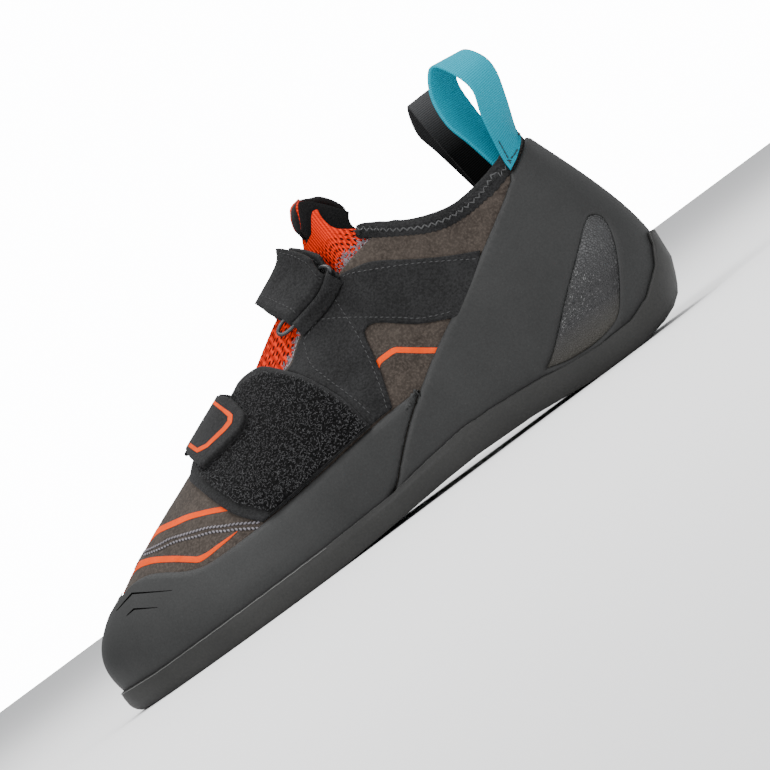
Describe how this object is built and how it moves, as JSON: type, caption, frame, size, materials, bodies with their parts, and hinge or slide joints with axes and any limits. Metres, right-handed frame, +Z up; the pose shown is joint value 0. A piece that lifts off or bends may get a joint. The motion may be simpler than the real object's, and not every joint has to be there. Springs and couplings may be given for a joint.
{
  "type": "climbing shoe",
  "caption": "Low-cut left climbing shoe with a rubber sole, toe and heel rands, an open collar and throat, a knit tongue, two fold-back straps through rings and webbing pull loops.",
  "frame": {"origin": "centre of the heel's flat resting spot on the underside of the sole, in the floor plane", "axes": "-X towards the toe, +X towards the heel, -Y to the outer side of the left shoe, +Y to its inner side, +Z up from the floor"},
  "size_m": [0.2664, 0.0917, 0.1299],
  "materials": {
    "suede": "taupe grey suede, soft nap",
    "rand_rubber": "smooth matt charcoal rubber",
    "sole_rubber": "smooth matt charcoal rubber",
    "microfibre": "near black microfibre with dashed stitching",
    "pile": "black looped pile",
    "knit": "open orange knit",
    "lining": "soft black lining",
    "blue_web": "ribbed blue webbing",
    "grey_web": "ribbed dark grey webbing",
    "grained_inlay": "grained dark grey, slightly shiny",
    "ring": "satin black"
  },
  "bodies": {
    "root": {"upper": "suede", "outsole": "sole_rubber", "insole": "lining", "toe_rand": "rand_rubber", "heel_rand": "rand_rubber", "outer_heel_inlay": "grained_inlay", "inner_heel_inlay": "grained_inlay", "outer_overlay": "microfibre", "inner_overlay": "microfibre", "collar_binding": "microfibre", "tongue": "knit", "tongue_lining": "lining", "lower_strap": "microfibre", "lower_strap_pile": "pile", "lower_strap_tab": "microfibre", "lower_ring": "ring", "lower_ring_loop": "microfibre", "upper_strap": "microfibre", "upper_strap_pile": "pile", "upper_strap_tab": "microfibre", "upper_ring": "ring", "upper_ring_loop": "microfibre", "outer_pull_loop": "blue_web", "inner_pull_loop": "grey_web"}
  },
  "joints": []
}
